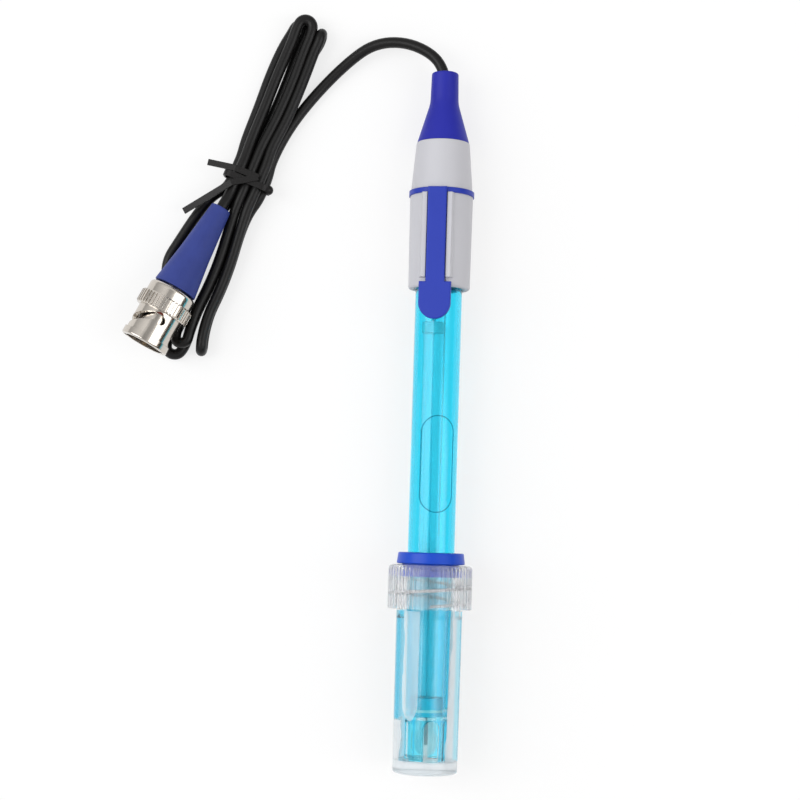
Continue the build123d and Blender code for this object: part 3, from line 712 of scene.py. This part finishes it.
# Storage solution in the bottle: it lies round the tube, and its flat surface runs along the probe
solution_level = 0.0045
arc_steps = 48
# Stations along the probe, each with the solution's outer and inner radius
solution_stations = (
    (0.0031, 0.0068, 0.0056),
    (0.0036, 0.0071, 0.0056),
    (0.0120, 0.00715, 0.0057),
    (0.0250, 0.0072, 0.0058),
    (0.0386, 0.0073, 0.0058),
    (0.0396, 0.0067, 0.0060),
    (0.0480, 0.0067, 0.0060),
)


def solution_section(station, outer, inner):
    """One ring of the solution's outline, cut off by its flat surface."""
    outer_angle = math.acos(solution_level / outer)
    inner_angle = math.acos(solution_level / inner)
    ring = []
    for step in range(arc_steps + 1):
        azimuth = outer_angle + (2 * math.pi - 2 * outer_angle) * step / arc_steps
        ring.append(on_probe(station, outer, azimuth))
    for step in range(arc_steps + 1):
        azimuth = 2 * math.pi - inner_angle - (2 * math.pi - 2 * inner_angle) * step / arc_steps
        ring.append(on_probe(station, inner, azimuth))
    return ring


def pour_solution():
    """The solution between the tube and the bottle: rings joined along the probe, closed at both ends."""
    rings = [solution_section(*sizes) for sizes in solution_stations]
    ring_length = len(rings[0])
    last = (len(rings) - 1) * ring_length
    faces = []
    for low in range(0, last, ring_length):
        high = low + ring_length
        for step in range(ring_length):
            after = (step + 1) % ring_length
            faces.append((low + step, low + after, high + after, high + step))
    for low in (0, last):
        far = low + ring_length - 1
        for step in range(arc_steps):
            closing = (low + step, low + step + 1, far - 1 - step, far - step)
            faces.append(closing if low else closing[::-1])
    points = [point for ring in rings for point in ring]
    water = veil("solution_water", (0.35, 0.92, 1.0), share=0.05, roughness=0.06)
    return mesh_piece("storage_solution", points, faces, water, "bottle")


pour_solution()


def white_floor():
    """Finish of the floor: white to the camera and in reflections, while it keeps a share of the shadow."""
    glow_share = 0.72
    finish = Finish("floor_white")
    rays = finish.node("ShaderNodeLightPath").outputs
    seen = Value(finish, rays["Is Camera Ray"]) + Value(finish, rays["Is Glossy Ray"])
    seen = seen + Value(finish, rays["Is Transmission Ray"])
    plain = finish.node("ShaderNodeBsdfDiffuse", None, {"Color": (0.93, 0.93, 0.93)})
    glow = finish.node("ShaderNodeEmission", None, {"Color": (1.0, 1.0, 1.0), "Strength": 1.0})
    inputs = {0: seen * glow_share, 1: plain.outputs[0], 2: glow.outputs[0]}
    return finish.finish_with(finish.node("ShaderNodeMixShader", None, inputs))


floor_half = 3.0
floor_corners = [(floor_half * x, floor_half * y, 0.0) for x, y in ((-1, -1), (1, -1), (1, 1), (-1, 1))]
floor_data = bpy.data.meshes.new("floor")
floor_data.from_pydata(floor_corners, [], [(0, 1, 2, 3)])
floor_data.materials.append(white_floor())
floor = bpy.data.objects.new("floor", floor_data)
bpy.context.collection.objects.link(floor)


def light_room():
    """Pale surroundings, darker overhead and low at the right, and plain white to the camera."""
    white = (1.0, 1.0, 1.0)
    wall_colour = (0.14, 0.10, 0.07)
    horizon_light = 0.44
    rise = 0.52
    overhead_fall = 7.0
    overhead_start = 0.90
    wall_top = 0.45
    wall_side = 0.25

    world = bpy.data.worlds.new("studio")
    bpy.context.scene.world = world
    world.use_nodes = True
    sky = Nodes(world.node_tree)
    direction = sky.node("ShaderNodeTexCoord").outputs["Generated"]
    parts = sky.node("ShaderNodeSeparateXYZ", None, {0: direction}).outputs
    height = Value(sky, parts["Z"]).least(0.0)
    light = horizon_light + rise * height - overhead_fall * (height - overhead_start).least(0.0)
    wall = height.below(wall_top) * Value(sky, parts["X"]).above(wall_side)
    to_camera = Value(sky, sky.node("ShaderNodeLightPath").outputs["Is Camera Ray"])
    colour = sky.blend(to_camera, sky.blend(wall, white, wall_colour), white)
    inputs = {"Color": colour, "Strength": light * (1.0 - to_camera) + to_camera}
    background = sky.node("ShaderNodeBackground", None, inputs)
    sky.node("ShaderNodeOutputWorld", None, {"Surface": background.outputs[0]})


def soft_box(name, place, size, power):
    """A large soft lamp that shines on the middle of the floor."""
    data = bpy.data.lights.new(name, "AREA")
    data.shape = "RECTANGLE"
    data.size, data.size_y = size
    data.energy = power
    lamp = bpy.data.objects.new(name, data)
    lamp.location = place
    lamp.rotation_euler = (-Vector(place)).to_track_quat("-Z", "Y").to_euler()
    bpy.context.collection.objects.link(lamp)


light_room()
soft_box("key_box", (-0.72, 0.10, 0.74), size=(0.5, 0.9), power=4.6)
soft_box("fill_box", (0.75, -0.1, 0.7), size=(0.4, 0.9), power=3.0)

# The box of a new piece is right only after this update
bpy.context.view_layer.update()
